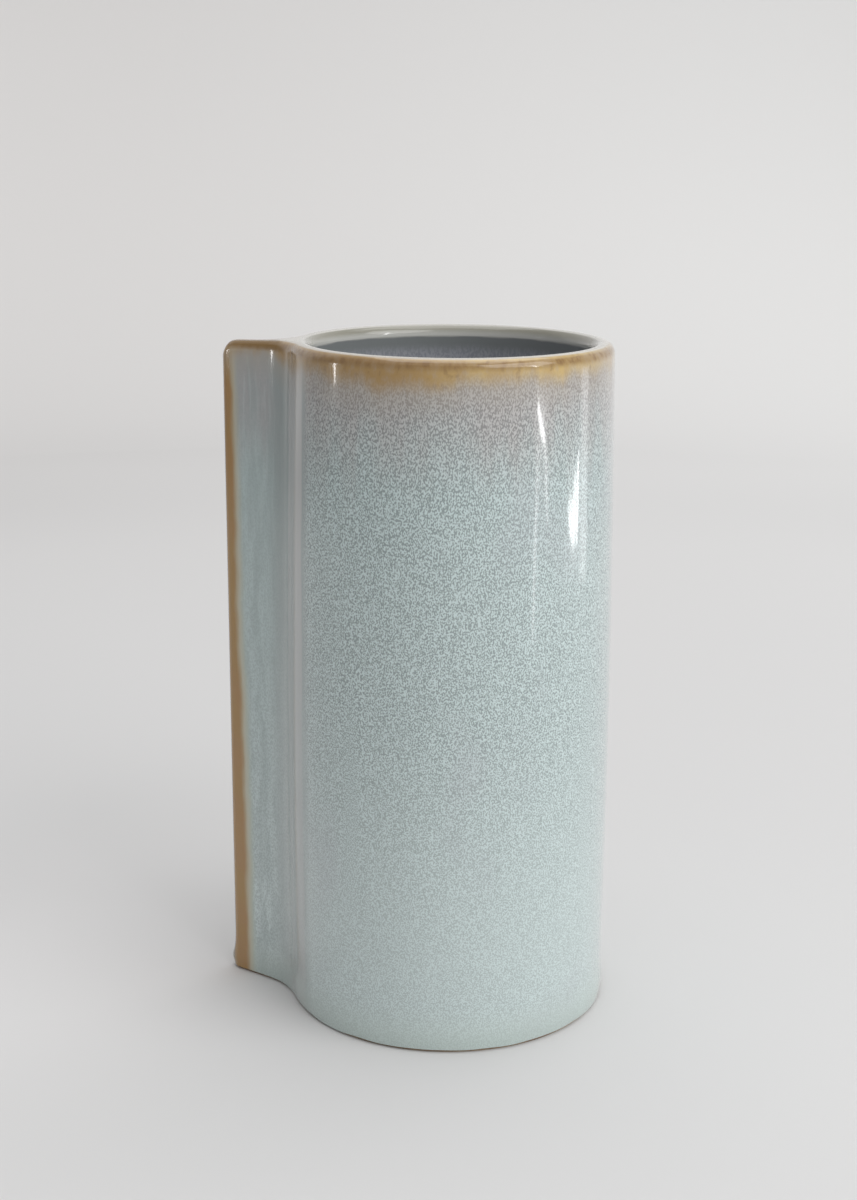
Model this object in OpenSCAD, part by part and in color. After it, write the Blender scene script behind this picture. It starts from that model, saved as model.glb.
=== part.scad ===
// Slab-built brush pot: a round upright wall with one flat fin standing out of its side.
// The pot stands on z = 0 with the axis of its round wall on Z.
// The fin's faces are parallel to the XZ plane, and the fin points towards -X.

/* [Pot] */
// Height of the glazed lip above the table
pot_h = 180; // [120:1:220]
// Outer diameter of the glazed wall
pot_d = 86.4; // [66:0.2:110]
// Thickness of the wall with its glaze on both faces
wall_t = 5.8; // [4:0.1:8]
// Thickness of the clay floor
floor_t = 6.4; // [4:0.1:10]

/* [Fin] */
// How far the fin's tip stands beyond the round wall, measured along X
fin_out = 11.2; // [8:0.1:20]
// How far the fin's front face lies behind the front of the round wall, measured along Y
fin_setback = 14.2; // [10:0.1:18]
// Thickness of the fin with its glaze on both faces
fin_t = 6; // [4.5:0.1:8]
// Height lost between the lip and the fin's top edge, where it leaves the wall
fin_step = 0.5; // [0:0.1:1]
// Further fall of the fin's top edge on its way to the tip
fin_fall = 0.9; // [0:0.1:3]

/* [Joints in the clay] */
// Radius of the wide hollow blend on the fin's front
front_blend_r = 20.5; // [12:0.5:26]
// Radius of the tight blend on the fin's back
back_blend_r = 5; // [3:0.5:6]
// Radius of the smoothed coil inside, between wall and floor
floor_blend_r = 4; // [2:0.5:8]
// Thickness at which a blend's feather edge ends
feather_t = 0.08; // [0.04:0.01:0.2]

/* [Glaze] */
// Thickness of a glaze coat
glaze_t = 0.6; // [0.3:0.05:1]
// Height of bare clay left at the foot
bare_foot = 1.6; // [1:0.1:4]

/* [Hidden] */
$fn = 256;
cut = 1;                                      // how far a cutting solid runs past what it cuts
root_depth = 3;                               // how far the fin is drawn past its joint in the wall
pot_r = pot_d / 2;
bore_r = pot_r - wall_t;                      // the glazed bore
lip_r = wall_t / 2;                           // the lip is fully round
lip_mid_r = pot_r - lip_r;                    // the lip's crest lies on this circle
lip_spring_z = pot_h - lip_r;                 // the lip starts to curve here
clay_bore_r = bore_r + glaze_t;

fin_edge_r = fin_t / 2;                       // the fin's free edges are fully round
fin_front_y = -(pot_r - fin_setback);
fin_back_y = fin_front_y + fin_t;
fin_mid_y = fin_front_y + fin_edge_r;
fin_edge_x = -(pot_r + fin_out - fin_edge_r); // centre of the round outer edge
fin_wall_x = -sqrt(pow(pot_r, 2) - pow(fin_mid_y, 2));     // the fin meets the wall's face here
fin_root_x = root_depth - sqrt(pow(lip_mid_r, 2) - pow(fin_front_y, 2)); // drawn to here, inside the wall
fin_wall_z = pot_h - fin_step - fin_edge_r;   // centre of the round top edge, at the wall
fin_tip_z = fin_wall_z - fin_fall;            // the same at the tip
fin_slope = fin_fall / (fin_wall_x - fin_edge_x);
fin_root_z = fin_wall_z + fin_slope * (fin_root_x - fin_wall_x);
fin_tilt = atan(fin_slope);

front_blend_y = fin_front_y - front_blend_r;
front_blend_x = -sqrt(pow(pot_r + front_blend_r, 2) - pow(front_blend_y, 2));
back_blend_y = fin_back_y + back_blend_r;
back_blend_x = -sqrt(pow(pot_r + back_blend_r, 2) - pow(back_blend_y, 2));

clay_color = "#9c8a72";
glaze_color = "#b3c3c2";
liner_color = "#7d8f94";

// Radius at which the fin and its blends end inside the wall, where one solid joins them
module root_core() {
    translate([0, 0, -cut])
        cylinder(h = pot_h + 3 * cut, r = lip_mid_r);
}

// The clay wall's outside, which the fin and its blends are pressed against
module wall_core() {
    translate([0, 0, -cut])
        cylinder(h = pot_h + 3 * cut, r = pot_r - glaze_t);
}

// The round wall with its rounded lip, drawn in by inset on every face
module wall_form(inset) {
    rotate_extrude() {
        translate([bore_r + inset, 0])
            square([wall_t - 2 * inset, lip_spring_z]);
        translate([lip_mid_r, lip_spring_z])
            circle(lip_r - inset);
    }
}

// The flat fin with its round outer and top edges, drawn in by inset on every face
module fin_form(inset) {
    r = fin_edge_r - inset;
    top_l = (fin_root_x - fin_edge_x) / cos(fin_tilt);
    translate([0, fin_mid_y, 0]) {
        translate([0, r, 0])
            rotate([90, 0, 0])
                linear_extrude(2 * r)
                    polygon([
                        [fin_edge_x, 0],
                        [fin_root_x, 0],
                        [fin_root_x, fin_root_z],
                        [fin_edge_x, fin_tip_z]
                    ]);
        translate([fin_edge_x, 0, 0])
            cylinder(h = fin_tip_z, r = r);
        translate([fin_edge_x, 0, fin_tip_z]) {
            sphere(r);
            rotate([0, 90 - fin_tilt, 0])
                cylinder(h = top_l, r = r);
        }
    }
}

// A hollow blend between the wall and one face of the fin, as an upright prism.
// centre is the hollow's axis, r its radius and turn the way from the wall round to the fin.
// It is drawn to reach_y, inside the fin, and past the wall's face.
module blend_form(centre, r, turn, reach_y, inset) {
    wall_trim = sqrt(2 * feather_t / (1 / r + 1 / pot_r));
    face_trim = sqrt(2 * feather_t * r);
    a = atan2(-centre[1], -centre[0]) + turn * wall_trim / r * 180 / PI;
    depth = r + lip_r;
    linear_extrude(lip_spring_z - inset)
        difference() {
            polygon([
                centre,
                [centre[0] + face_trim, reach_y],
                [fin_root_x, reach_y],
                centre + depth * [cos(a), sin(a)]
            ]);
            translate(centre)
                circle(r + inset);
        }
}

module front_blend(reach_y, inset) {
    blend_form([front_blend_x, front_blend_y], front_blend_r, 1, reach_y, inset);
}

module back_blend(reach_y, inset) {
    blend_form([back_blend_x, back_blend_y], back_blend_r, -1, reach_y, inset);
}

// The pot's whole outside as one solid, drawn in by inset
module outside_form(inset) {
    wall_form(inset);
    difference() {
        union() {
            fin_form(inset);
            front_blend(fin_mid_y, inset);
            back_blend(fin_mid_y, inset);
        }
        root_core();
    }
}

// Half section of the hollow inside, let out by outset into the wall and floor
module hollow_section(outset, top_z) {
    corner = [bore_r - floor_blend_r, floor_t + glaze_t + floor_blend_r];
    low_z = floor_t + glaze_t - outset;
    translate([0, corner[1]])
        square([bore_r + outset, top_z - corner[1]]);
    translate([0, low_z])
        square([corner[0], top_z - low_z]);
    intersection() {
        translate(corner)
            circle(floor_blend_r + outset);
        translate([0, low_z])
            square([bore_r + outset, top_z - low_z]);
    }
}

// The rolled upright slab, in bare clay
module wall_slab() {
    color(clay_color)
        wall_form(glaze_t);
}

// The fin, cut to sit against the wall
module fin_slab() {
    color(clay_color)
        difference() {
            fin_form(glaze_t);
            wall_core();
        }
}

// The round floor, set inside the foot of the wall
module floor_slab() {
    color(clay_color)
        cylinder(h = floor_t, r = clay_bore_r);
}

// Clay pressed and smoothed into the corner in front of the fin
module front_blend_coil() {
    color(clay_color)
        difference() {
            front_blend(fin_front_y + glaze_t, glaze_t);
            wall_core();
        }
}

// Clay pressed into the tight corner behind the fin
module back_seam_coil() {
    color(clay_color)
        difference() {
            back_blend(fin_back_y - glaze_t, glaze_t);
            wall_core();
        }
}

// Coil smoothed into the corner between the floor and the wall
module floor_seam_coil() {
    corner_r = bore_r - floor_blend_r;
    side = floor_blend_r + glaze_t;
    trim = sqrt(2 * feather_t * side);
    color(clay_color)
        rotate_extrude()
            difference() {
                translate([corner_r + trim, floor_t])
                    square([side - trim, side - trim]);
                hollow_section(glaze_t, pot_h);
            }
}

// Glaze over the outside, the fin and the lip, down to the bare foot
module outer_glaze() {
    color(glaze_color)
        difference() {
            outside_form(0);
            outside_form(glaze_t);
            translate([0, 0, -cut])
                cylinder(h = lip_spring_z + cut, r = clay_bore_r);
            translate([0, 0, -cut])
                cylinder(h = bare_foot + cut, r = pot_d);
        }
}

// Glaze over the inside wall and the floor, up to where the lip starts
module liner_glaze() {
    color(liner_color)
        rotate_extrude()
            difference() {
                hollow_section(glaze_t, lip_spring_z);
                hollow_section(0, pot_h);
            }
}

wall_slab();
fin_slab();
floor_slab();
front_blend_coil();
back_seam_coil();
floor_seam_coil();
outer_glaze();
liner_glaze();
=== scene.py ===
"""Slab-built brush pot: a round upright wall with one flat fin, under a reactive celadon glaze.

Each class makes one sub-assembly of the pot. All lengths are in metres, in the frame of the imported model:
the pot stands on z = 0, its round wall is centred on Z, and its fin points towards -X.
"""

import logging
import math
from collections.abc import Iterator
from dataclasses import dataclass
from enum import Enum

import bmesh
import bpy
from bmesh.types import BMEdge, BMesh, BMFace, BMVert
from mathutils import Matrix, Quaternion, Vector, noise


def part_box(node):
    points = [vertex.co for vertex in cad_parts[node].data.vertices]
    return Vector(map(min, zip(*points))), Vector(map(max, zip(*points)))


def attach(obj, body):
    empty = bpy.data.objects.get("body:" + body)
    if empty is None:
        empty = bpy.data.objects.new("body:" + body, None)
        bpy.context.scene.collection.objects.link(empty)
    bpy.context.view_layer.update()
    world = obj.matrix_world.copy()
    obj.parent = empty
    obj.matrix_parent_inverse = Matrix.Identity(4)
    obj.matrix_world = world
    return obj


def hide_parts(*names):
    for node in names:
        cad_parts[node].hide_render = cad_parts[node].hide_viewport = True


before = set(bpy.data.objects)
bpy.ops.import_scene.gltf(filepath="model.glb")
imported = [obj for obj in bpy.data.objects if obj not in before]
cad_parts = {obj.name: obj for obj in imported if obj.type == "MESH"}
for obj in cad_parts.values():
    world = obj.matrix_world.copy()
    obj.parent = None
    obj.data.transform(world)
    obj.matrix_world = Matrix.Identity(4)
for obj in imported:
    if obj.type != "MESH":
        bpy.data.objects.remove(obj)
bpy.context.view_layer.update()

MM = 0.001
log = logging.getLogger("brush_pot")

Triple = tuple[float, float, float]
Colour = Triple


class Slot(Enum):
    """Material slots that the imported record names."""

    CLAY = "bare_clay"
    OUTER = "outer_glaze"
    LINER = "liner_glaze"


def smooth_step(low: float, high: float, value: float) -> float:
    """Rises from 0 at low to 1 at high, with soft ends."""
    share = min(1.0, max(0.0, (value - low) / (high - low)))
    return share * share * (3.0 - 2.0 * share)


def corner_fall(radius: float, past: float) -> float:
    """Drop of a round corner of this radius, at a point this far past where the corner starts."""
    past = min(radius, max(0.0, past))
    return radius - math.sqrt(radius * radius - past * past)


# ---- sizes


@dataclass(frozen=True)
class PotSizes:
    """The pot's sizes, in metres."""

    height: float
    wall_r: float
    bore_r: float
    glaze_t: float
    floor_z: float
    lip_spring_z: float
    foot_z: float
    fin_tip_x: float
    fin_front_y: float
    fin_back_y: float
    front_blend_r: float = 20.5 * MM
    back_blend_r: float = 5.0 * MM
    corner_r: float = 4.0 * MM

    @classmethod
    def from_frame(cls) -> "PotSizes":
        """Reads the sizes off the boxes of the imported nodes.

        Returns:
            The sizes of the glazed pot.
        """
        skin_low, skin_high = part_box("outer_glaze")
        clay_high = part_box("wall_slab")[1]
        liner_low, liner_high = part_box("liner_glaze")
        fin_low, fin_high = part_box("fin_slab")
        glaze_t = skin_high.x - clay_high.x
        return cls(
            height=skin_high.z,
            wall_r=skin_high.x,
            bore_r=liner_high.x - glaze_t,
            glaze_t=glaze_t,
            floor_z=liner_low.z + glaze_t,
            lip_spring_z=liner_high.z,
            foot_z=skin_low.z,
            fin_tip_x=skin_low.x,
            fin_front_y=fin_low.y - glaze_t,
            fin_back_y=fin_high.y + glaze_t,
        )

    @property
    def lip_r(self) -> float:
        """Radius of the fully round lip."""
        return (self.wall_r - self.bore_r) / 2

    @property
    def lip_mid_r(self) -> float:
        """Radius of the circle that the lip's crest lies on."""
        return (self.wall_r + self.bore_r) / 2

    @property
    def fin_edge_r(self) -> float:
        """Radius of the fin's round free edges."""
        return (self.fin_back_y - self.fin_front_y) / 2

    @property
    def fin_edge(self) -> Vector:
        """Centre, in plan, of the fin's round outer edge."""
        return Vector((self.fin_tip_x + self.fin_edge_r, self.fin_front_y + self.fin_edge_r, 0.0))

    def _hollow(self, y: float, radius: float) -> Vector:
        """Centre, in plan, of a hollow of this radius that touches the round wall from outside."""
        return Vector((-math.sqrt((self.wall_r + radius) ** 2 - y * y), y, 0.0))

    @property
    def front_blend(self) -> Vector:
        """Centre, in plan, of the wide hollow in front of the fin."""
        return self._hollow(self.fin_front_y - self.front_blend_r, self.front_blend_r)

    @property
    def back_blend(self) -> Vector:
        """Centre, in plan, of the tight hollow behind the fin."""
        return self._hollow(self.fin_back_y + self.back_blend_r, self.back_blend_r)


@dataclass(frozen=True)
class FiredShape:
    """How drying and firing moved the slabs away from their plain, upright form."""

    sizes: PotSizes
    lip_draw: float = 1.0 * MM
    belly: float = 0.8 * MM
    sway: float = 0.16 * MM
    fin_step: float = 0.2 * MM
    fin_fall: float = 1.0 * MM
    fin_corner_r: float = 5.2 * MM
    top_edge_r: float = 2.75 * MM
    top_reach: float = 14.0 * MM
    wall_reach: float = 6.5 * MM

    def _draw(self, z: float) -> float:
        """How far the round wall stands out from its plain radius at this height."""
        share = min(1.0, max(0.0, z / self.sizes.height))
        return self.belly * 4 * share * (1 - share) - self.lip_draw * share

    def _fin_drop(self, point: Vector, out: float) -> float:
        """How far the fin's top edge has sunk at a point.

        Args:
            point: A point of the plain form.
            out: How far it stands out from the wall's face.

        Returns:
            The drop.
        """
        sizes = self.sizes
        tip = point.x - sizes.fin_tip_x
        reach = sizes.wall_r * 0.8 + sizes.fin_tip_x
        along = min(1.0, max(0.0, tip / -reach))
        fall = self.fin_step + self.fin_fall * (1 - along)
        corner = corner_fall(self.fin_corner_r, self.fin_corner_r - tip)
        built = corner_fall(self.top_edge_r, self.top_edge_r - tip)
        near_tip = smooth_step(0.0, -self.fin_corner_r, tip - self.fin_corner_r)
        return fall * smooth_step(-sizes.lip_r, 2 * sizes.lip_r, out) + (corner - built) * near_tip

    def moved(self, point: Vector) -> Vector:
        """Where a point of the plain form ends up.

        Args:
            point: A point in or on the plain form.

        Returns:
            The same point on the fired pot.
        """
        sizes = self.sizes
        radius = math.hypot(point.x, point.y)
        if radius < 1e-9:
            return point.copy()
        out = radius - sizes.wall_r
        on_wall = 1.0 - smooth_step(0.0, self.wall_reach, out)
        wave = noise.noise(Vector((point.x / 0.034, point.y / 0.034, point.z / 0.120)))
        ripple = noise.noise(Vector((point.x / 0.012, point.y / 0.012, 7.0 + point.z / 0.075)))
        unevenness = self.sway * (wave + 0.35 * ripple) * smooth_step(0.0, 30 * MM, point.z)
        push = self._draw(point.z) * on_wall + unevenness
        top = smooth_step(sizes.height - self.top_reach, sizes.lip_spring_z - MM, point.z)
        drop = self._fin_drop(point, out) * top if point.x < 0 and out > -sizes.lip_r else 0.0
        scale = 1.0 + push / radius
        return Vector((point.x * scale, point.y * scale, point.z - drop))

    def apply(self, bm: BMesh) -> None:
        """Moves every vertex of a mesh to where firing left it."""
        for vert in bm.verts:
            vert.co = self.moved(vert.co)


# ---- mesh work


def only(geometry: list, kind: type) -> list:
    """The elements of one kind out of an operator's result."""
    return [item for item in geometry if isinstance(item, kind)]


def swing(bm: BMesh, vert: BMVert, centre: Vector, angle: float, step: float) -> BMVert:
    """Draws an arc in plan by spinning one vertex about an upright axis.

    Args:
        bm: The mesh being drawn in.
        vert: The vertex to start from.
        centre: A point on the axis.
        angle: How far to turn, anticlockwise from above, in radians.
        step: The longest edge wanted along the arc.

    Returns:
        The vertex at the arc's end.
    """
    radius = (vert.co - centre).to_2d().length
    steps = max(4, math.ceil(abs(angle) * radius / step))
    spun = bmesh.ops.spin(
        bm, geom=[vert], cent=centre, axis=(0, 0, 1), angle=angle, steps=steps, use_merge=False
    )
    return only(spun["geom_last"], BMVert)[0]


def stride(bm: BMesh, vert: BMVert, to_x: float, step: float) -> BMVert:
    """Draws a straight run parallel to X by extruding one vertex.

    Args:
        bm: The mesh being drawn in.
        vert: The vertex to start from.
        to_x: Where the run ends.
        step: The longest edge wanted along it.

    Returns:
        The vertex at the run's end.
    """
    run = to_x - vert.co.x
    steps = max(1, math.ceil(abs(run) / step))
    for _ in range(steps):
        made = bmesh.ops.extrude_vert_indiv(bm, verts=[vert])
        vert = made["verts"][0]
        bmesh.ops.translate(bm, verts=[vert], vec=(run / steps, 0, 0))
    return vert


def raise_loop(bm: BMesh, edges: list[BMEdge], rise: float) -> list[BMEdge]:
    """Extrudes a closed run of edges straight up or down.

    Args:
        bm: The mesh they are in.
        edges: The closed run.
        rise: How far to go, downwards if it is negative.

    Returns:
        The new run.
    """
    grown = bmesh.ops.extrude_edge_only(bm, edges=edges)["geom"]
    bmesh.ops.translate(bm, verts=only(grown, BMVert), vec=(0, 0, rise))
    return only(grown, BMEdge)


def in_order(edges: list[BMEdge], start: BMVert) -> list[BMVert]:
    """Follows a closed run of edges.

    Args:
        edges: The closed run.
        start: One of its vertices.

    Returns:
        Its vertices, one after another, from start.
    """
    ring = set(edges)
    found, vert, edge = [start], start, next(e for e in start.link_edges if e in ring)
    while (vert := edge.other_vert(vert)) is not start:
        found.append(vert)
        edge = next(e for e in vert.link_edges if e in ring and e is not edge)
    return found


def nearest(verts: list[BMVert], place: Vector) -> BMVert:
    """The vertex closest to a place."""
    return min(verts, key=lambda vert: (vert.co - place).length_squared)


def cut_levels(bm: BMesh, low: float, high: float, step: float) -> None:
    """Cuts a mesh at even heights, so that it can take a curve.

    Args:
        bm: The mesh.
        low: The height that the levels are counted from.
        high: The height that they stay below.
        step: The distance from one to the next.
    """
    for level in range(1, math.ceil((high - low) / step)):
        cut = (0, 0, low + level * step)
        everything = [*bm.verts, *bm.edges, *bm.faces]
        bmesh.ops.bisect_plane(bm, geom=everything, plane_co=cut, plane_no=(0, 0, 1))


def turn_round(bm: BMesh, geometry: list, steps: int) -> None:
    """Spins geometry once round the pot's axis, and closes it.

    Args:
        bm: The mesh.
        geometry: What to spin.
        steps: How many steps make the turn.
    """
    bmesh.ops.spin(
        bm, geom=geometry, cent=(0, 0, 0), axis=(0, 0, 1), angle=math.tau, steps=steps, use_merge=True
    )


def round_off(bm: BMesh, geometry: list, affect: str, radius: float, segments: int) -> None:
    """Rounds edges or vertices.

    Args:
        bm: The mesh.
        geometry: The edges or vertices.
        affect: Which of the two they are, in Blender's word.
        radius: The radius to round them to.
        segments: How many faces or edges make the round.
    """
    bmesh.ops.bevel(
        bm,
        geom=geometry,
        offset=radius,
        offset_type="OFFSET",
        affect=affect,
        segments=segments,
        profile=0.5,
        material=-1,
        clamp_overlap=False,
    )


def as_object(name: str, bm: BMesh, material: bpy.types.Material) -> bpy.types.Object:
    """Turns a finished bmesh into a smooth object in the scene.

    Args:
        name: The object's name.
        bm: The mesh, which is freed here.
        material: Its finish.

    Returns:
        The new object.
    """
    mesh = bpy.data.meshes.new(name)
    bm.to_mesh(mesh)
    bm.free()
    mesh.polygons.foreach_set("use_smooth", [True] * len(mesh.polygons))
    mesh.materials.append(material)
    made = bpy.data.objects.new(name, mesh)
    bpy.context.scene.collection.objects.link(made)
    return made


@dataclass
class Piece:
    """One finished piece of the pot."""

    name: str
    slot: Slot
    material: bpy.types.Material
    replaces: tuple[str, ...] = ()
    crease_degrees: float = 38.0

    def place(self, bm: BMesh) -> bpy.types.Object:
        """Turns a finished bmesh into an object that rides on the pot.

        Args:
            bm: The mesh, which is freed here.

        Returns:
            The new object.
        """
        made = as_object(self.name, bm, self.material)
        made.data.set_sharp_from_angle(angle=math.radians(self.crease_degrees))
        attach(made, "root")
        if self.replaces:
            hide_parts(*self.replaces)
        triangles = sum(len(polygon.vertices) - 2 for polygon in made.data.polygons)
        log.info("%s: %d triangles", self.name, triangles)
        return made


# ---- node work

Socket = bpy.types.NodeSocket
Feed = Socket | float


class NodeBench:
    """Short ways to lay out shader nodes in one material."""

    def __init__(self, name: str) -> None:
        """Starts a material with nothing but a Principled shader in it.

        Args:
            name: The material's name.
        """
        self.material = bpy.data.materials.new(name)
        self.material.use_nodes = True
        self.tree = self.material.node_tree
        self.tree.nodes.clear()
        self.shader = self.tree.nodes.new("ShaderNodeBsdfPrincipled")
        output = self.tree.nodes.new("ShaderNodeOutputMaterial")
        self.tree.links.new(self.shader.outputs["BSDF"], output.inputs["Surface"])

    def _feed(self, socket: Socket, value: Feed | Colour) -> None:
        """Links a socket to another, or sets it.

        Args:
            socket: The input socket.
            value: An output socket, a number or a colour.
        """
        if isinstance(value, Socket):
            self.tree.links.new(value, socket)
        elif isinstance(value, tuple) and socket.type == "RGBA":
            socket.default_value = (*value, 1.0)
        else:
            socket.default_value = value

    def _add(self, kind: str, *feeds: Feed | Triple, **settings: str) -> bpy.types.Node:
        """Adds a shader node.

        Args:
            kind: The node's type, without the word ShaderNode.
            feeds: What goes into its first inputs, in their order.
            settings: Its properties, by name.

        Returns:
            The node.
        """
        node = self.tree.nodes.new(f"ShaderNode{kind}")
        for name, choice in settings.items():
            setattr(node, name, choice)
        for socket, value in zip(node.inputs, feeds):
            self._feed(socket, value)
        return node

    def millimetres(self) -> Socket:
        """The piece's own coordinates, in millimetres."""
        place = self._add("TexCoord").outputs["Object"]
        return self.stretch(place, (1 / MM, 1 / MM, 1 / MM))

    def stretch(self, vector: Socket, scale: Triple, shift: Triple = (0, 0, 0)) -> Socket:
        """Scales and shifts a vector.

        Args:
            vector: The vector.
            scale: What each part of it is multiplied by.
            shift: What is then added to each.

        Returns:
            The new vector.
        """
        node = self._add("Mapping", vector)
        node.inputs["Scale"].default_value = scale
        node.inputs["Location"].default_value = shift
        return node.outputs["Vector"]

    def parts(self, vector: Socket) -> tuple[Socket, Socket, Socket]:
        """The X, Y and Z of a vector."""
        return tuple(self._add("SeparateXYZ", vector).outputs)

    def gather(self, x: Feed, y: Feed, z: Feed) -> Socket:
        """A vector made of three numbers."""
        return self._add("CombineXYZ", x, y, z).outputs["Vector"]

    def math(self, operation: str, first: Feed, second: Feed = 0.0, third: Feed = 0.0) -> Socket:
        """One arithmetic step on as many of the numbers as it takes."""
        return self._add("Math", first, second, third, operation=operation).outputs["Value"]

    def times(self, first: Feed, second: Feed) -> Socket:
        """The product of two numbers."""
        return self.math("MULTIPLY", first, second)

    def from_axis(self, x: Socket, y: Socket) -> Socket:
        """How far a place is, in plan, from the axis that x and y are measured from."""
        return self.math("SQRT", self.math("ADD", self.times(x, x), self.times(y, y)))

    def along(self, x: Socket, y: Socket, way: Vector) -> Socket:
        """How far a place is from the pot's axis in a level direction."""
        return self.math("MULTIPLY_ADD", y, way.y, self.times(x, way.x))

    def fade(self, value: Feed, low: float, high: float, start: float = 0.0, end: float = 1.0) -> Socket:
        """Runs smoothly from start, where value is low, to end, where it is high."""
        node = self._add("MapRange", value, low, high, start, end, interpolation_type="SMOOTHSTEP")
        return node.outputs["Result"]

    def noise(self, vector: Socket, scale: Triple, detail: float = 2.0, shift: float = 0.0) -> Socket:
        """Makes soft noise, about 0.5 in the middle.

        Args:
            vector: The place, in millimetres.
            scale: Waves a millimetre along each axis.
            detail: How many finer layers it has.
            shift: Moves the pattern, so that two noises differ.

        Returns:
            The noise.
        """
        node = self._add("TexNoise", self.stretch(vector, scale, (shift, shift, shift)))
        node.inputs["Scale"].default_value = 1.0
        node.inputs["Detail"].default_value = detail
        return node.outputs["Fac"]

    def mix(self, share: Feed, first: Socket | Colour, second: Socket | Colour) -> Socket:
        """Blends two colours.

        Args:
            share: How much of the second is in the blend, from 0 to 1.
            first: The first colour.
            second: The second colour.

        Returns:
            The blend.
        """
        node = self._add("Mix", share, data_type="RGBA")
        colours = [socket for socket in node.inputs if socket.type == "RGBA"]
        self._feed(colours[0], first)
        self._feed(colours[1], second)
        return next(socket for socket in node.outputs if socket.type == "RGBA")

    def bump(self, height: Socket, depth: float, below: Socket | None = None) -> Socket:
        """Makes a relief.

        Args:
            height: The relief, from 0 to 1.
            depth: How deep it is, in metres.
            below: The normal of a relief that this one lies on.

        Returns:
            The normal.
        """
        node = self._add("Bump")
        node.inputs["Distance"].default_value = depth
        self._feed(node.inputs["Height"], height)
        if below is not None:
            self._feed(node.inputs["Normal"], below)
        return node.outputs["Normal"]

    def set(self, name: str, value: Feed | Colour) -> None:
        """Sets or links one of the Principled shader's own sockets."""
        self._feed(self.shader.inputs[name], value)


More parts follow.
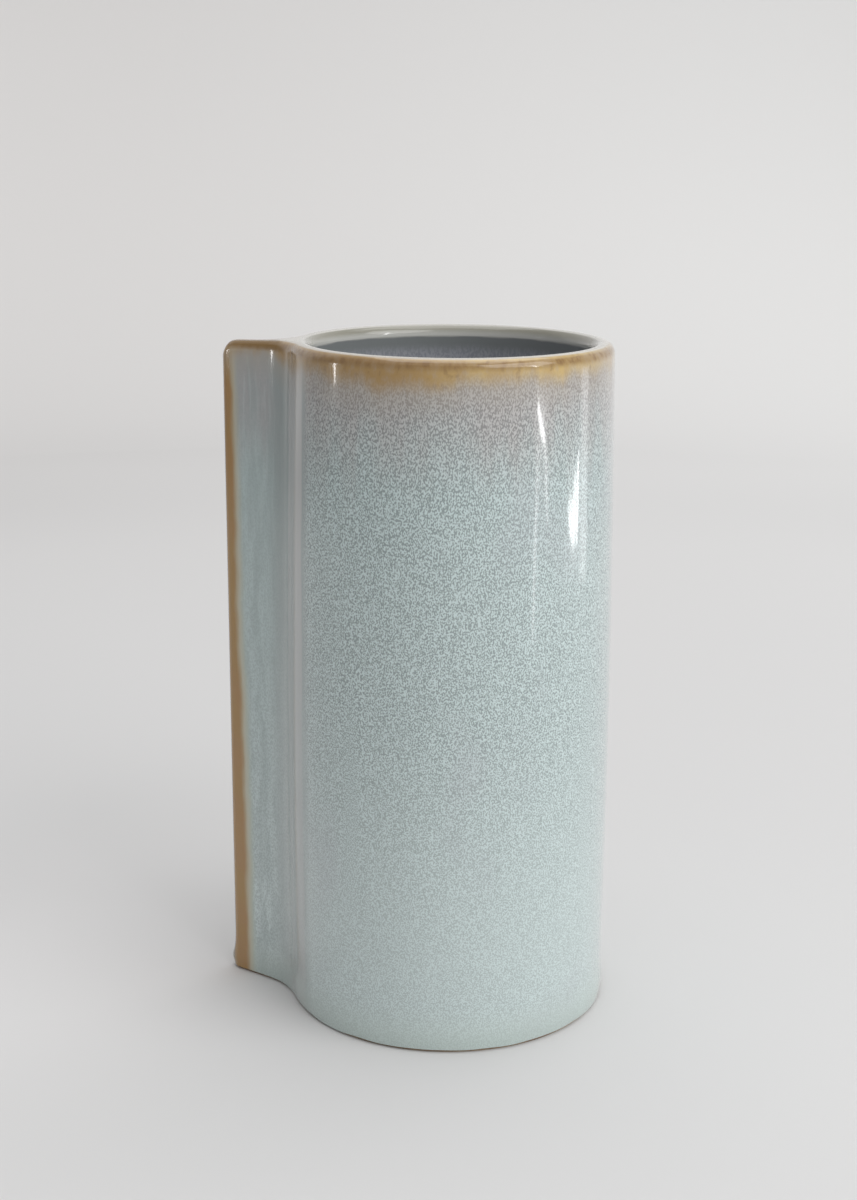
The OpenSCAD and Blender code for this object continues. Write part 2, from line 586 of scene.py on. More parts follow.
@dataclass(frozen=True)
class ReactiveGlaze:
    """The outer glaze: speckled celadon that breaks to amber where it runs thin."""

    sizes: PotSizes
    fired: FiredShape
    pale: Colour = (0.600, 0.708, 0.703)
    deep: Colour = (0.305, 0.362, 0.360)
    pale_top: Colour = (0.525, 0.515, 0.505)
    deep_top: Colour = (0.300, 0.293, 0.287)
    foot_pale: Colour = (0.63, 0.72, 0.71)
    pool: Colour = (0.47, 0.55, 0.51)
    quiet: Colour = (0.488, 0.585, 0.578)
    quiet_top: Colour = (0.42, 0.418, 0.418)
    haze: Colour = (0.45, 0.455, 0.49)
    # Painted shade for the hollow in front of the fin, and a lighter painted reflection streak along it.
    valley_shade: Colour = (0.31, 0.36, 0.355)
    valley_sheen: Colour = (0.49, 0.50, 0.495)
    amber: Colour = (0.42, 0.262, 0.095)
    rim_amber: Colour = (0.37, 0.215, 0.062)
    # Painted light: golden stands for the amber on the side that the light falls on.
    golden: Colour = (0.63, 0.445, 0.165)
    tan: Colour = (0.44, 0.375, 0.30)
    brown: Colour = (0.25, 0.145, 0.06)
    rust: Colour = (0.38, 0.20, 0.075)
    olive: Colour = (0.17, 0.125, 0.045)
    crust: Colour = (0.21, 0.115, 0.025)
    straw: Colour = (0.53, 0.49, 0.365)
    sage: Colour = (0.47, 0.525, 0.45)
    lip: Colour = (0.27, 0.26, 0.21)
    lip_below: Colour = (0.58, 0.58, 0.545)
    # Painted highlight: the pale line on the lip's crest.
    crest: Colour = (0.68, 0.665, 0.61)
    roughness: float = 0.12
    coat: float = 0.7
    grain_round: float = 3.2
    grain_down: float = 2.6
    grain_slowing: float = -1.2e-5

    def make(self) -> bpy.types.Material:
        """Builds the glaze.

        Returns:
            The material.
        """
        bench = NodeBench("reactive_outer_glaze")
        place = bench.millimetres()
        x, y, z = bench.parts(place)
        depth = bench.math("SUBTRACT", self.sizes.height / MM, z)
        radius = bench.from_axis(x, y)
        runs = bench.noise(place, (0.16, 0.16, 0.02), 2.0)
        threads = bench.noise(place, (0.9, 0.9, 0.07), 2.0, 11.0)
        speckle = self._speckle(bench, place)

        body = self._body(bench, place, speckle, runs, threads)
        body = self._fin_break(bench, place, body)
        body = self._rim_break(bench, place, body, runs, threads)
        crest = (self.sizes.lip_mid_r - self.fired.lip_draw) / MM
        lip = bench.mix(bench.fade(depth, 0.8, 2.8), self.lip, self.lip_below)
        body = bench.mix(bench.fade(radius, crest + 0.3, crest - 0.5), body, lip)
        # Painted highlight: a pale line along the very top of the lip, where the glaze catches the light.
        body = bench.mix(bench.fade(depth, 0.40, 0.10, 0.0, 0.85), body, self.crest)

        bench.set("Base Color", body)
        bench.set("Roughness", self.roughness)
        bench.set("Coat Weight", self.coat)
        bench.set("Coat Roughness", 0.05)
        bench.set("IOR", 1.52)
        peel = bench.bump(bench.noise(place, (0.5, 0.5, 0.22), 1.0, 3.0), 0.025 * MM)
        bench.set("Normal", bench.bump(speckle, 0.005 * MM, peel))
        return bench.material

    def _speckle(self, bench: NodeBench, place: Socket) -> Socket:
        """Makes the fine worm-like speckle, drawn out downwards near the lip and rounder towards the foot.

        Args:
            bench: The material being made.
            place: The place, in millimetres.

        Returns:
            The speckle, 1 on the pale specks and 0 between them.
        """
        x, y, z = bench.parts(place)
        slower = bench.times(bench.times(z, z), self.grain_slowing)
        level = bench.times(z, bench.math("ADD", slower, self.grain_down))
        spread = bench.gather(bench.times(x, self.grain_round), bench.times(y, self.grain_round), level)
        return bench.fade(bench.noise(spread, (1, 1, 1), 0.0), 0.37, 0.63)

    def _body(
        self, bench: NodeBench, place: Socket, speckle: Socket, runs: Socket, threads: Socket
    ) -> Socket:
        """Colours the celadon: lavender grey near the lip, blue green below, quiet along the fin; the
        hollow in front of the fin gets painted shade and a lighter painted reflection streak.

        Args:
            bench: The material being made.
            place: The place, in millimetres.
            speckle: The speckle, from 0 to 1.
            runs: Broad noise, drawn out downwards as the glaze ran.
            threads: Narrow noise, drawn out the same way.

        Returns:
            The colour.
        """
        x, y, z = bench.parts(place)
        depth = bench.math("SUBTRACT", self.sizes.height / MM, z)
        sink = bench.math("MULTIPLY_ADD", runs, 30.0, depth)
        low_share = bench.fade(sink, 24.0, 52.0)
        wall = bench.mix(
            low_share,
            bench.mix(speckle, self.deep_top, self.pale_top),
            bench.mix(speckle, self.deep, self.pale),
        )
        wall = bench.mix(bench.fade(z, 100.0, 20.0, 0.0, 0.44), wall, self.foot_pale)
        drift = bench.noise(place, (0.035, 0.035, 0.02), 2.0, 40.0)
        wall = bench.mix(bench.fade(drift, 0.52, 0.68, 0.0, 0.20), wall, self.haze)

        clouds = bench.noise(place, (0.32, 0.32, 0.06), 3.0, 13.0)
        quiet = bench.mix(bench.fade(sink, 28.0, 60.0), self.quiet_top, self.quiet)
        quiet = bench.mix(bench.fade(z, 120.0, 15.0, 0.0, 0.8), quiet, self.foot_pale)
        rise = bench.fade(z, 160.0, 40.0, 0.25, 0.55)
        grains = bench.noise(place, (2.4, 2.4, 1.6), 1.0, 50.0)
        quiet = bench.mix(bench.times(bench.fade(grains, 0.62, 0.36), rise), quiet, self.deep)
        quiet = bench.mix(bench.fade(clouds, 0.62, 0.38, 0.0, 0.32), quiet, self.deep)
        quiet = bench.mix(bench.fade(threads, 0.52, 0.66, 0.0, 0.16), quiet, self.foot_pale)
        turn = bench.math("DEGREES", bench.math("ARCTAN2", y, x))
        wander = bench.math("MULTIPLY_ADD", clouds, 1.6, turn)
        in_front = bench.math("LESS_THAN", y, self.sizes.fin_edge.y / MM)
        joint = math.degrees(math.atan2(self.sizes.front_blend.y, self.sizes.front_blend.x))
        # Painted shade: the hollow in front of the fin is darkened, where the round wall keeps the light
        # off it.
        hollow = bench.times(bench.fade(wander, joint - 14.0, joint - 8.0), in_front)
        # Painted reflection: a lighter, greyer streak along the hollow, just past the joint, stands for
        # light reflected there.
        rises = bench.fade(wander, joint - 2.8, joint - 1.2)
        ends = bench.fade(wander, joint + 14.0, joint + 12.0)
        band = bench.times(bench.times(rises, ends), in_front)
        quiet = bench.mix(bench.times(hollow, bench.fade(z, 50.0, 150.0, 0.4, 0.75)), quiet, self.valley_shade)
        quiet = bench.mix(bench.times(band, bench.fade(z, 50.0, 150.0, 0.5, 0.95)), quiet, self.valley_sheen)
        radius = bench.from_axis(x, y)
        on_fin = bench.fade(radius, 44.2, 45.4)
        near_joint = bench.times(bench.fade(wander, joint + 19.0, joint + 13.0), in_front)
        wall = bench.mix(bench.math("MAXIMUM", on_fin, near_joint), wall, quiet)
        return bench.mix(bench.fade(z, 14.0, 1.5, 0.0, 0.6), wall, self.pool)

    def _fin_break(self, bench: NodeBench, place: Socket, body: Socket) -> Socket:
        """Lays amber down the fin's outer edge: olive on the very edge, then amber, straw and green.

        Args:
            bench: The material being made.
            place: The place, in millimetres.
            body: The colour that it lies on.

        Returns:
            The colour.
        """
        x, _, z = bench.parts(place)
        from_tip = bench.math("SUBTRACT", x, self.sizes.fin_tip_x / MM)
        wave = bench.noise(place, (0.05, 0.05, 0.05), 2.0, 5.0)
        ragged = bench.noise(place, (0.9, 0.9, 0.12), 2.0, 31.0)
        widen = bench.fade(z, 175.0, 20.0, 1.0, 2.9)
        shift = bench.math("ADD", bench.times(wave, 2.2), bench.math("MULTIPLY_ADD", ragged, 0.9, widen))
        edge = bench.math("SUBTRACT", from_tip, shift)
        green = bench.times(bench.fade(z, 150.0, 60.0, 0.1, 0.75), bench.fade(edge, 5.4, 3.2))
        body = bench.mix(green, body, self.sage)
        body = bench.mix(bench.fade(edge, 4.4, 2.2, 0.0, 0.85), body, self.straw)
        body = bench.mix(bench.fade(edge, 3.0, 0.6), body, self.rim_amber)
        rust = bench.times(bench.fade(wave, 0.45, 0.6, 0.0, 0.5), bench.fade(edge, 2.2, 1.0))
        body = bench.mix(rust, body, self.rust)
        return bench.mix(bench.fade(from_tip, 2.0, 0.35, 0.0, 0.9), body, self.olive)

    def _rim_break(
        self, bench: NodeBench, place: Socket, body: Socket, runs: Socket, threads: Socket
    ) -> Socket:
        """Lays amber under the lip and over the fin's top: a brown line, then amber that runs into tan,
        with painted light making it golden and paler on the lit side.

        Args:
            bench: The material being made.
            place: The place, in millimetres.
            body: The colour that it lies on.
            runs: Broad noise, drawn out downwards as the glaze ran.
            threads: Narrow noise, drawn out the same way.

        Returns:
            The colour.
        """
        x, y, z = bench.parts(place)
        depth = bench.math("SUBTRACT", self.sizes.height / MM, z)
        radius = bench.from_axis(x, y)
        fin_share = bench.fade(radius, 43.0, 47.0)
        blobs = bench.noise(place, (0.11, 0.11, 0.02), 1.0, 23.0)
        streak = bench.math("MULTIPLY_ADD", threads, 1.6, bench.times(blobs, 8.0))
        start = bench.math("MULTIPLY_ADD", fin_share, 2.4, 5.8)
        ragged = bench.math("SUBTRACT", bench.math("ADD", depth, start), streak)
        body = bench.mix(bench.fade(ragged, 16.0, 5.0, 0.0, 0.55), body, self.tan)
        # Painted light: the amber is painted lighter, golden and then tan, towards the camera's right, the
        # side that the light falls on.
        side = bench.along(x, y, Vector((0.82, 0.57)))
        lit_side_share = bench.times(bench.fade(side, -14.0, 16.0), bench.fade(runs, 0.38, 0.60, 0.5, 1.0))
        warm = bench.mix(lit_side_share, self.amber, self.golden)
        warm = bench.mix(bench.fade(side, 26.0, 42.0, 0.0, 0.55), warm, self.tan)
        mottle = bench.noise(place, (0.55, 0.55, 0.4), 3.0, 17.0)
        warm = bench.mix(bench.fade(mottle, 0.45, 0.75, 0.0, 0.35), warm, self.tan)
        warm = bench.mix(bench.fade(mottle, 0.42, 0.28, 0.0, 0.4), warm, self.brown)
        body = bench.mix(bench.fade(ragged, 9.0, 3.4, 0.0, 0.95), body, warm)
        line = bench.times(bench.fade(depth, 0.3, 1.0), bench.fade(depth, 3.4, 1.6))
        line = bench.times(line, bench.fade(mottle, 0.3, 0.6, 0.9, 0.55))
        body = bench.mix(line, body, self.brown)
        capped = bench.times(bench.fade(radius, 42.6, 45.0), bench.fade(depth, 3.2, 1.3, 0.0, 0.95))
        return bench.mix(capped, body, self.crust)


@dataclass(frozen=True)
class LinerGlaze:
    """The glaze inside: pale on the lip, a dark grey band below it, which is the glaze's thin break painted
    darker as shade, then slate.
    """

    sizes: PotSizes
    lip: Colour = (0.46, 0.46, 0.425)
    # The band under the lip: the glaze's thin break, painted darker as shade.
    band: Colour = (0.21, 0.225, 0.225)
    slate: Colour = (0.365, 0.375, 0.41)
    slate_deep: Colour = (0.28, 0.29, 0.32)

    def make(self) -> bpy.types.Material:
        """Builds the glaze.

        Returns:
            The material.
        """
        bench = NodeBench("slate_liner_glaze")
        place = bench.millimetres()
        _, _, z = bench.parts(place)
        depth = bench.math("SUBTRACT", self.sizes.height / MM, z)
        wander = bench.noise(place, (0.12, 0.12, 0.05), 2.0, 9.0)
        depth = bench.math("SUBTRACT", bench.math("ADD", depth, 0.4), bench.times(wander, 0.8))
        grain = bench.fade(bench.noise(place, (1.6, 1.6, 0.9), 1.5), 0.38, 0.62)
        body = bench.mix(grain, self.slate_deep, self.slate)
        # Partly painted shade: the band just inside the mouth is darkened.
        body = bench.mix(bench.fade(depth, 8.5, 4.6), body, self.band)
        body = bench.mix(bench.fade(depth, 3.4, 2.8), body, self.lip)
        bench.set("Base Color", body)
        bench.set("Roughness", 0.16)
        bench.set("Coat Weight", 0.3)
        bench.set("Coat Roughness", 0.06)
        bench.set("IOR", 1.5)
        bench.set("Normal", bench.bump(bench.noise(place, (0.4, 0.4, 0.25), 2.0, 3.0), 0.04 * MM))
        return bench.material


@dataclass(frozen=True)
class FiredClay:
    """Bare stoneware: buff, finely grogged, with painted contact shade darkening the strip of bare clay at
    the foot.
    """

    buff: Colour = (0.36, 0.27, 0.185)
    shade: Colour = (0.24, 0.17, 0.115)
    grog: Colour = (0.10, 0.065, 0.045)
    # Painted contact shade: the darker colour of the bare strip at the foot.
    foot: Colour = (0.27, 0.205, 0.155)

    def make(self) -> bpy.types.Material:
        """Builds the clay.

        Returns:
            The material.
        """
        bench = NodeBench("fired_bare_clay")
        place = bench.millimetres()
        x, y, z = bench.parts(place)
        cloud = bench.noise(place, (0.08, 0.08, 0.08), 3.0)
        body = bench.mix(bench.fade(cloud, 0.35, 0.65), self.shade, self.buff)
        specks = bench.noise(place, (1.9, 1.9, 1.9), 1.0, 6.0)
        body = bench.mix(bench.fade(specks, 0.66, 0.72), body, self.grog)
        sand = bench.noise(place, (4.5, 4.5, 4.5), 2.0, 2.0)
        radius = bench.from_axis(x, y)
        # Painted contact shade: the bare strip at the foot, just above the table, is darkened.
        foot_shade_share = bench.times(bench.fade(z, 0.05, 0.4), bench.fade(radius, 39.0, 42.0))
        body = bench.mix(bench.times(foot_shade_share, 0.8), body, self.foot)
        bench.set("Base Color", body)
        bench.set("Roughness", bench.fade(sand, 0.3, 0.7, 0.72, 0.92))
        bench.set("Normal", bench.bump(sand, 0.12 * MM))
        return bench.material


# ---- the pot


@dataclass
class OuterSkin:
    """The outer glaze coat, over the wall, the fin, their blends and the lip."""

    sizes: PotSizes
    fired: FiredShape
    material: bpy.types.Material
    plan_step: float = 1.5 * MM
    level_step: float = 2.6 * MM
    lip_segments: int = 10
    roll: float = 0.38 * MM

    def _outline(self, bm: BMesh) -> list[BMEdge]:
        """Draws the pot's outline at the foot, clockwise from above.

        Args:
            bm: The empty mesh to draw in.

        Returns:
            The outline's edges.
        """
        sizes, step = self.sizes, self.plan_step
        origin = Vector((0, 0, sizes.foot_z))
        front, back, edge = sizes.front_blend, sizes.back_blend, sizes.fin_edge
        front_turn = math.atan2(-front.y, -front.x)
        back_turn = math.atan2(-back.y, -back.x)
        start = bm.verts.new((sizes.wall_r, 0, sizes.foot_z))
        pen = swing(bm, start, origin, front_turn - math.pi, step)
        pen = swing(bm, pen, front, math.pi / 2 - front_turn, step)
        pen = stride(bm, pen, edge.x, step)
        pen = swing(bm, pen, edge, -math.pi, step / 3)
        pen = stride(bm, pen, back.x, step)
        pen = swing(bm, pen, back, back_turn + math.pi / 2, step / 2)
        pen = swing(bm, pen, origin, -(math.pi / 2 + back_turn), step)
        swing(bm, pen, origin, -math.pi / 2, step)
        bmesh.ops.remove_doubles(bm, verts=bm.verts, dist=0.05 * MM)
        return list(bm.edges)

    def _levels(self) -> Iterator[float]:
        """Steps up the wall, finely at the foot, and leaves room for the lip's round edge.

        Returns:
            The rise from each level to the next.
        """
        top = self.sizes.height - self.fired.top_edge_r - 0.8 * MM
        level, rise = self.sizes.foot_z, 0.5 * MM
        while level < top - rise:
            yield rise
            level += rise
            rise = min(self.level_step, rise * 1.2)
        yield top - level
        yield self.sizes.height - top

    def _bore(self, bm: BMesh) -> list[BMEdge]:
        """Draws the mouth of the bore at the lip's height.

        Args:
            bm: The mesh being drawn in.

        Returns:
            The mouth's edges.
        """
        start = bm.verts.new((self.sizes.bore_r, 0, self.sizes.height))
        steps = 4 * math.ceil(math.tau * self.sizes.bore_r / self.plan_step / 4)
        before = set(bm.edges)
        turn_round(bm, [start], steps)
        return [edge for edge in bm.edges if edge not in before]

    def _close_top(self, bm: BMesh, rim: list[BMEdge], bore: list[BMEdge]) -> None:
        """Closes the flat top with two faces that meet on +X and on +Y.

        Args:
            bm: The mesh being drawn in.
            rim: The edges round the outside.
            bore: The edges round the bore's mouth.
        """
        sizes = self.sizes
        rim_verts = {vert for edge in rim for vert in edge.verts}
        bore_verts = {vert for edge in bore for vert in edge.verts}
        rim_x = nearest(list(rim_verts), Vector((sizes.wall_r, 0, sizes.height)))
        rim_y = nearest(list(rim_verts), Vector((0, sizes.wall_r, sizes.height)))
        bore_x = nearest(list(bore_verts), Vector((sizes.bore_r, 0, sizes.height)))
        bore_y = nearest(list(bore_verts), Vector((0, sizes.bore_r, sizes.height)))
        outer = in_order(rim, rim_x)
        inner = in_order(bore, bore_x)
        if outer[1].co.y * inner[1].co.y < 0:
            inner = [inner[0], *reversed(inner[1:])]
        split, notch = outer.index(rim_y), inner.index(bore_y)
        bm.faces.new([*outer[: split + 1], *reversed(inner[: notch + 1])])
        bm.faces.new([*outer[split:], outer[0], inner[0], *reversed(inner[notch:])])

    def _cut_fin_top(self, bm: BMesh) -> None:
        """Cuts the flat that is left along the fin's top, so that it can slope.

        Args:
            bm: The mesh being drawn in.
        """
        sizes = self.sizes
        flat = [face for face in bm.faces if len(face.verts) > 4]
        x = sizes.fin_tip_x + self.fired.top_edge_r
        while x < -sizes.lip_mid_r * 0.6:
            geometry = {item for face in flat for item in (face, *face.edges, *face.verts)}
            cut = bmesh.ops.bisect_plane(bm, geom=list(geometry), plane_co=(x, 0, 0), plane_no=(1, 0, 0))
            flat = [face for face in only(cut["geom"], BMFace) if face.is_valid]
            x += self.plan_step

    def _pour(self, point: Vector) -> Vector:
        """Lets the coat creep: a fat roll above a wandering lower edge, and a bead at the fin's corner.

        Args:
            point: A point on the even coat.

        Returns:
            Where it ends up.
        """
        sizes = self.sizes
        radius = math.hypot(point.x, point.y)
        outside = smooth_step(sizes.wall_r - 0.5 * sizes.glaze_t, sizes.wall_r, radius)
        wander = noise.noise(Vector((point.x / 0.009, point.y / 0.009, 3.0)))
        dip = (0.80 * MM + 0.35 * MM * wander) * smooth_step(6 * MM, sizes.foot_z, point.z)
        bulge = self.roll * outside * math.exp(-(((point.z - 4.5 * MM) / (3.2 * MM)) ** 2))
        bead_place = Vector((sizes.fin_tip_x, sizes.fin_front_y + 2.2 * MM, 3.4 * MM))
        bulge += 0.75 * MM * outside * math.exp(-((point - bead_place).length / (1.7 * MM)) ** 2)
        if point.z < 12 * MM:
            away = Vector((point.x, point.y)) / radius
            return Vector((point.x + away.x * bulge, point.y + away.y * bulge, point.z - dip))
        return point

    def build(self) -> bpy.types.Object:
        """Builds the coat as a closed shell.

        Returns:
            The finished piece.
        """
        sizes = self.sizes
        bm = bmesh.new()
        rim = self._outline(bm)
        for rise in self._levels():
            rim = raise_loop(bm, rim, rise)
        bore = self._bore(bm)
        self._close_top(bm, rim, bore)
        raise_loop(bm, bore, sizes.lip_spring_z - sizes.height)
        round_off(bm, [*rim, *bore], "EDGES", self.fired.top_edge_r, self.lip_segments)
        self._cut_fin_top(bm)
        bmesh.ops.triangulate(bm, faces=[face for face in bm.faces if len(face.verts) > 4])
        bmesh.ops.recalc_face_normals(bm, faces=bm.faces)
        bmesh.ops.solidify(bm, geom=list(bm.faces), thickness=sizes.glaze_t)
        for vert in bm.verts:
            vert.co = self._pour(vert.co)
        self.fired.apply(bm)
        return Piece("outer_glaze_skin", Slot.OUTER, self.material, ("outer_glaze",)).place(bm)


@dataclass
class LinerSkin:
    """The glaze coat inside: bore, rounded corner and floor."""

    sizes: PotSizes
    fired: FiredShape
    material: bpy.types.Material
    corner_segments: int = 8
    spin_steps: int = 176
    long_edge: float = 20 * MM
    long_edge_cuts: int = 10
    level_step: float = 3.0 * MM

    def build(self) -> bpy.types.Object:
        """Spins the coat's section round the pot's axis.

        Returns:
            The finished piece.
        """
        sizes = self.sizes
        bm = bmesh.new()
        centre = bm.verts.new((0, 0, sizes.floor_z))
        corner = bmesh.ops.extrude_vert_indiv(bm, verts=[centre])["verts"][0]
        bmesh.ops.translate(bm, verts=[corner], vec=(sizes.bore_r, 0, 0))
        top = bmesh.ops.extrude_vert_indiv(bm, verts=[corner])["verts"][0]
        bmesh.ops.translate(bm, verts=[top], vec=(0, 0, sizes.lip_spring_z - sizes.floor_z))
        round_off(bm, [corner], "VERTICES", sizes.corner_r, self.corner_segments)
        long_edges = [edge for edge in bm.edges if edge.calc_length() > self.long_edge]
        bmesh.ops.subdivide_edges(bm, edges=long_edges, cuts=self.long_edge_cuts)
        turn_round(bm, [*bm.verts, *bm.edges], self.spin_steps)
        bmesh.ops.remove_doubles(bm, verts=bm.verts, dist=0.02 * MM)
        bmesh.ops.recalc_face_normals(bm, faces=bm.faces)
        floor = min(bm.faces, key=lambda face: face.calc_center_median().z)
        if floor.normal.z < 0:
            bmesh.ops.reverse_faces(bm, faces=bm.faces)
        cut_levels(bm, sizes.floor_z + sizes.corner_r, sizes.lip_spring_z, self.level_step)
        bmesh.ops.solidify(bm, geom=list(bm.faces), thickness=sizes.glaze_t)
        self.fired.apply(bm)
        return Piece("liner_glaze_skin", Slot.LINER, self.material, ("liner_glaze",)).place(bm)


@dataclass
class ClayBody:
    """The bare clay under the glaze: the wall, the fin and the coils that join them."""

    fired: FiredShape
    material: bpy.types.Material
    drifting: tuple[str, ...] = ("wall_slab", "fin_slab", "front_blend_coil", "back_seam_coil")
    still: tuple[str, ...] = ("floor_slab", "floor_seam_coil")
    level_step: float = 9.0 * MM

    def _drifted(self, node: str) -> bpy.types.Object:
        """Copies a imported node, and moves it as firing moved the glaze over it.

        Args:
            node: The node's name.

        Returns:
            The finished piece.
        """
        bm = bmesh.new()
        bm.from_mesh(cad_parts[node].data)
        bmesh.ops.remove_doubles(bm, verts=bm.verts, dist=0.001 * MM)
        low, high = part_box(node)
        cut_levels(bm, low.z, high.z, self.level_step)
        self.fired.apply(bm)
        return Piece(f"{node}_fired", Slot.CLAY, self.material, (node,)).place(bm)

    def build(self) -> list[bpy.types.Object]:
        """Builds the clay pieces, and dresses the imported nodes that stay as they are.

        Returns:
            The new pieces.
        """
        for node in self.still:
            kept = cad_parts[node].data
            kept.materials.clear()
            kept.materials.append(self.material)
            log.info("%s: kept as packed", node)
        return [self._drifted(node) for node in self.drifting]


# ---- the studio


@dataclass(frozen=True)
class ViewPoint:
    """Where the camera stands: distances in metres, angles in degrees."""

    azimuth: float = 34.852
    distance: float = 0.47614
    aside: float = -0.00548
    height: float = 0.2328
    tilt: float = 14.405
    roll: float = 0.316
    lens: float = 55.06

    @property
    def ahead(self) -> Vector:
        """The level direction that the camera faces."""
        turn = math.radians(self.azimuth)
        return Vector((-math.sin(turn), math.cos(turn), 0.0))

    @property
    def right(self) -> Vector:
        """The level direction to the camera's right."""
        turn = math.radians(self.azimuth)
        return Vector((math.cos(turn), math.sin(turn), 0.0))

    def bearing(self, degrees: float, rise: float = 0.0) -> Vector:
        """Turns from where the camera faces.

        Args:
            degrees: How far to turn to the right.
            rise: How far to look up, in degrees.

        Returns:
            The direction.
        """
        turn, lift = math.radians(degrees), math.radians(rise)
        level = self.ahead * math.cos(turn) + self.right * math.sin(turn)
        return level * math.cos(lift) + Vector((0, 0, math.sin(lift)))

    def place_camera(self) -> None:
        """Makes the scene's camera."""
        dip, lean = math.radians(self.tilt), math.radians(self.roll)
        forward = self.ahead * math.cos(dip) - Vector((0, 0, math.sin(dip)))
        level_up = self.right.cross(forward)
        right = self.right * math.cos(lean) + level_up * math.sin(lean)
        up = right.cross(forward)
        spot = self.right * self.aside - self.ahead * self.distance + Vector((0, 0, self.height))
        camera = bpy.data.objects.new("camera", bpy.data.cameras.new("camera"))
        camera.data.lens = self.lens
        camera.data.sensor_width = 36.0
        camera.data.clip_start, camera.data.clip_end = 0.01, 50.0
        camera.matrix_world = Matrix.LocRotScale(spot, Matrix((right, up, -forward)).transposed(), None)
        bpy.context.scene.collection.objects.link(camera)
        bpy.context.scene.camera = camera


class Outline(Enum):
    """Shapes a light panel can have."""

    OBLONG = "RECTANGLE"
    OVAL = "ELLIPSE"


@dataclass(frozen=True)
class Panel:
    """A light panel that faces the pot.

    It leans, in degrees, about the line from the pot to it. Unless it lights things up, it is only
    seen as a reflection in the glaze.
    """

    name: str
    bearing: float
    away: float
    z: float
    width: float
    height: float
    radiance: float
    lean: float = 0.0
    outline: Outline = Outline.OBLONG
    lights_up: bool = False
    aim_z: float = 0.09

    def hang(self, view: ViewPoint) -> None:
        """Hangs the panel and turns it to face the pot.

        Args:
            view: Where the camera stands, which bearings are counted from.
        """
        light = bpy.data.lights.new(self.name, "AREA")
        light.shape = self.outline.value
        light.size, light.size_y = self.width, self.height
        light.energy = self.radiance * 4 * self.width * self.height
        made = bpy.data.objects.new(self.name, light)
        made.location = view.bearing(self.bearing) * self.away + Vector((0, 0, self.z))
        out = made.location - Vector((0, 0, self.aim_z))
        turned = out.to_track_quat("Z", "Y") @ Quaternion((0, 0, 1), math.radians(self.lean))
        made.rotation_euler = turned.to_euler()
        made.visible_camera = False
        made.visible_diffuse = self.lights_up
        bpy.context.scene.collection.objects.link(made)


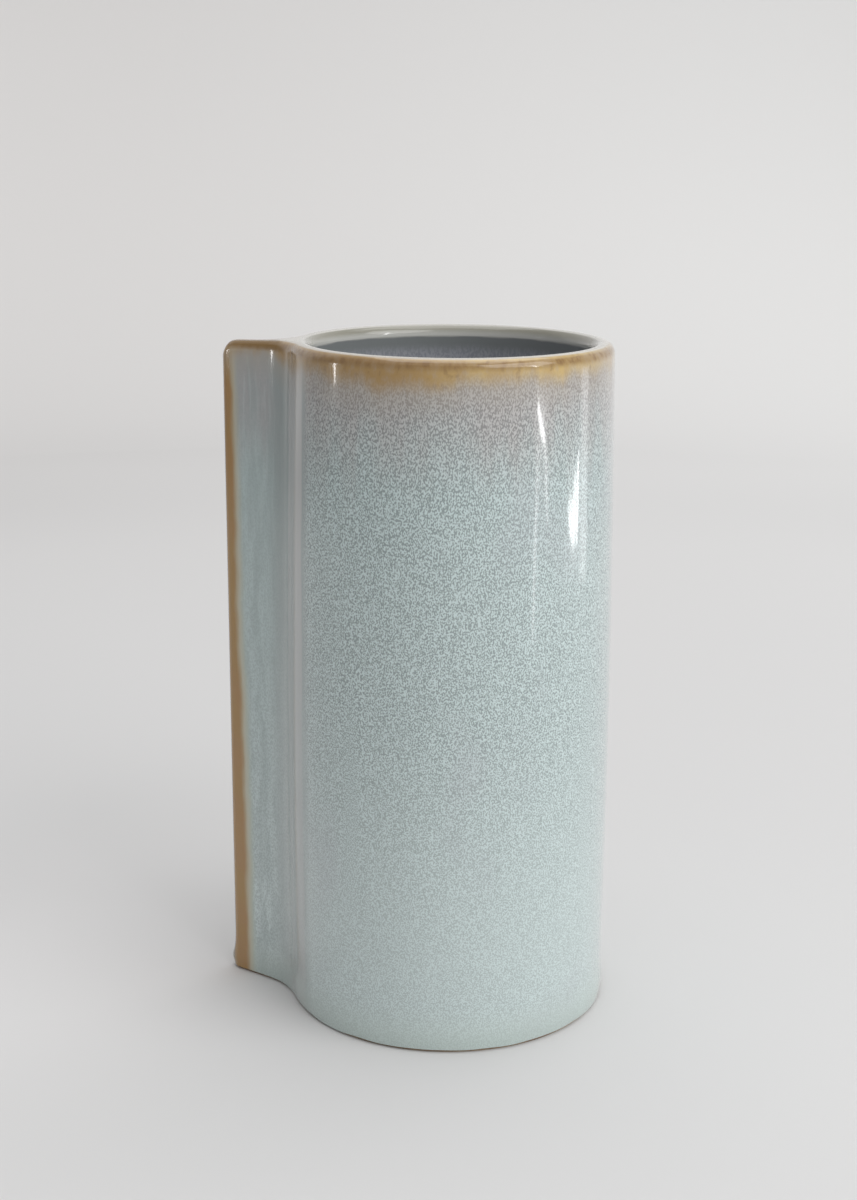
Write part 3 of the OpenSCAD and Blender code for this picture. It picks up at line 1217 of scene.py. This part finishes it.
@dataclass
class Studio:
    """A pale table with a sweep that curves up all round, and soft light."""

    view: ViewPoint
    floor_r: float = 0.9
    cove_r: float = 0.5
    wall_h: float = 1.1
    spin_steps: int = 96
    curve_steps: int = 24
    # Paper colours with painted light: lighter to the right and far off, darker to the left and behind the
    # camera, and a lighter patch left of the pot.
    near: Colour = (0.735, 0.73, 0.725)
    painted_fill_patch: Colour = (0.80, 0.79, 0.785)
    far_right: Colour = (0.955, 0.95, 0.935)
    far_left: Colour = (0.80, 0.785, 0.77)
    behind_left: Colour = (0.34, 0.34, 0.34)
    behind_right: Colour = (0.55, 0.55, 0.55)
    sky: Colour = (0.435, 0.435, 0.44)
    patch_right: float = -95.0
    patch_ahead: float = 20.0
    dim_side: float = 0.20
    bright_side: float = 1.70

    def _paper(self) -> bpy.types.Material:
        """Makes pale paper with painted light: lighter far off and on the right, where the light falls,
        darker on the left and behind the camera, where the room is dim, and a painted light patch on the
        table left of the pot.

        Returns:
            The material.
        """
        bench = NodeBench("pale_paper")
        x, y, _ = bench.parts(bench.millimetres())
        radius = bench.from_axis(x, y)
        side = bench.along(x, y, self.view.right)
        deep = bench.along(x, y, self.view.ahead)
        # Painted light and shade: the paper is lighter towards the camera's right and darker towards its
        # left and behind it.
        on_right = bench.fade(side, -420.0, 420.0)
        behind = bench.mix(on_right, self.behind_left, self.behind_right)
        far = bench.mix(on_right, self.far_left, self.far_right)
        beside = bench.times(bench.fade(deep, 800.0, 350.0), bench.fade(radius, 550.0, 950.0))
        far = bench.mix(bench.math("MAXIMUM", bench.fade(deep, -100.0, -380.0), beside), far, behind)
        # Painted light: a lighter patch on the table left of the pot fills in the pot's shadow.
        over = bench.math("SUBTRACT", side, self.patch_right)
        past = bench.math("SUBTRACT", deep, self.patch_ahead)
        reach = bench.from_axis(over, past)
        near = bench.mix(bench.fade(reach, 130.0, 20.0), self.near, self.painted_fill_patch)
        # Painted light: the table is darker close to the pot and lighter far off.
        bench.set("Base Color", bench.mix(bench.fade(radius, 60.0, 1300.0), near, far))
        bench.set("Roughness", 0.9)
        bench.set("Specular IOR Level", 0.1)
        return bench.material

    def _spun(self, name: str, start: float, curve: bool, paper: bpy.types.Material) -> bpy.types.Object:
        """Spins the flat table, or the curved sweep beyond it.

        Args:
            name: The new object's name.
            start: Its inner radius.
            curve: Whether it curves up.
            paper: Its material.

        Returns:
            The new object.
        """
        bm = bmesh.new()
        pen = bm.verts.new((start, 0, 0))
        if curve:
            hub = Vector((start, 0, self.cove_r))
            quarter = -math.pi / 2
            bmesh.ops.spin(
                bm, geom=[pen], cent=hub, axis=(0, 1, 0), angle=quarter, steps=self.curve_steps
            )
            last = max(bm.verts, key=lambda vert: vert.co.z)
            top = bmesh.ops.extrude_vert_indiv(bm, verts=[last])["verts"]
            bmesh.ops.translate(bm, verts=top, vec=(0, 0, self.wall_h))
        else:
            edge = bmesh.ops.extrude_vert_indiv(bm, verts=[pen])["verts"]
            bmesh.ops.translate(bm, verts=edge, vec=(self.floor_r, 0, 0))
        turn_round(bm, [*bm.verts, *bm.edges], self.spin_steps)
        bmesh.ops.remove_doubles(bm, verts=bm.verts, dist=0.01 * MM)
        bmesh.ops.recalc_face_normals(bm, faces=bm.faces)
        made = as_object(name, bm, paper)
        return made

    def build(self) -> None:
        """Lays the table and the sweep, and sets the light."""
        paper = self._paper()
        self._spun("table", 0.0, False, paper)
        sweep = self._spun("sweep", self.floor_r, True, paper)
        sweep.visible_diffuse = False
        sweep.visible_shadow = False
        self._light_room()
        for panel in self._panels():
            panel.hang(self.view)

    def _panels(self) -> tuple[Panel, ...]:
        """Lists the panels: a broad key on the right, a soft top, and narrow ones seen as streaks.

        Returns:
            The panels.
        """
        return (
            Panel("key", 126.0, 1.27, 0.885, 1.3, 1.3, 1.57, lights_up=True),
            Panel("top", 10.0, 0.243, 1.469, 1.2, 1.2, 1.03, lights_up=True),
            Panel("left_window", -96.0, 0.45, 0.180, 0.013, 0.103, 10.0),
            Panel("glint", 121.0, 0.60, 0.40, 0.015, 0.20, 14.0, outline=Outline.OVAL),
            Panel("right_dash", 118.5, 0.45, 0.113, 0.009, 0.055, 12.0, 68.0, Outline.OVAL),
            Panel("right_tail", 114.0, 0.45, 0.086, 0.010, 0.060, 3.2, 25.0, Outline.OVAL),
            Panel("right_line", 122.0, 0.45, 0.050, 0.012, 0.110, 3.0, -12.0, Outline.OVAL),
            Panel("wedge_foot", 92.0, 0.45, 0.058, 0.060, 0.022, 4.5, -14.0, Outline.OVAL),
            Panel("wedge_middle", 89.5, 0.45, 0.069, 0.026, 0.030, 4.0, -14.0, Outline.OVAL),
            Panel("wedge_tip", 86.5, 0.45, 0.071, 0.011, 0.050, 8.0, -8.0, Outline.OVAL),
            Panel("side_line", 79.5, 0.45, 0.080, 0.060, 0.110, 1.1),
        )

    def _light_room(self) -> None:
        """Fills the room with even light that is dimmer on the left."""
        world = bpy.data.worlds.new("room")
        world.use_nodes = True
        tree = world.node_tree
        tree.nodes.clear()
        place = tree.nodes.new("ShaderNodeTexCoord").outputs["Generated"]
        toward = tree.nodes.new("ShaderNodeVectorMath")
        toward.operation = "DOT_PRODUCT"
        toward.inputs[1].default_value = self.view.bearing(105.0, 35.0)
        tree.links.new(place, toward.inputs[0])
        shade = tree.nodes.new("ShaderNodeMapRange")
        ends = {"From Min": -1.0, "From Max": 1.0, "To Min": self.dim_side, "To Max": self.bright_side}
        for name, value in ends.items():
            shade.inputs[name].default_value = value
        tree.links.new(toward.outputs["Value"], shade.inputs["Value"])
        background = tree.nodes.new("ShaderNodeBackground")
        background.inputs["Color"].default_value = (*self.sky, 1.0)
        tree.links.new(shade.outputs["Result"], background.inputs["Strength"])
        output = tree.nodes.new("ShaderNodeOutputWorld")
        tree.links.new(background.outputs["Background"], output.inputs["Surface"])
        bpy.context.scene.world = world
        bpy.context.scene.view_settings.view_transform = "Standard"


def main() -> None:
    """Builds the pot and its studio."""
    logging.basicConfig(level=logging.INFO, format="%(name)s: %(message)s")
    sizes = PotSizes.from_frame()
    fired = FiredShape(sizes)
    view = ViewPoint()
    view.place_camera()
    ClayBody(fired, FiredClay().make()).build()
    LinerSkin(sizes, fired, LinerGlaze(sizes).make()).build()
    OuterSkin(sizes, fired, ReactiveGlaze(sizes, fired).make()).build()
    Studio(view).build()


if __name__ == "__main__":
    main()
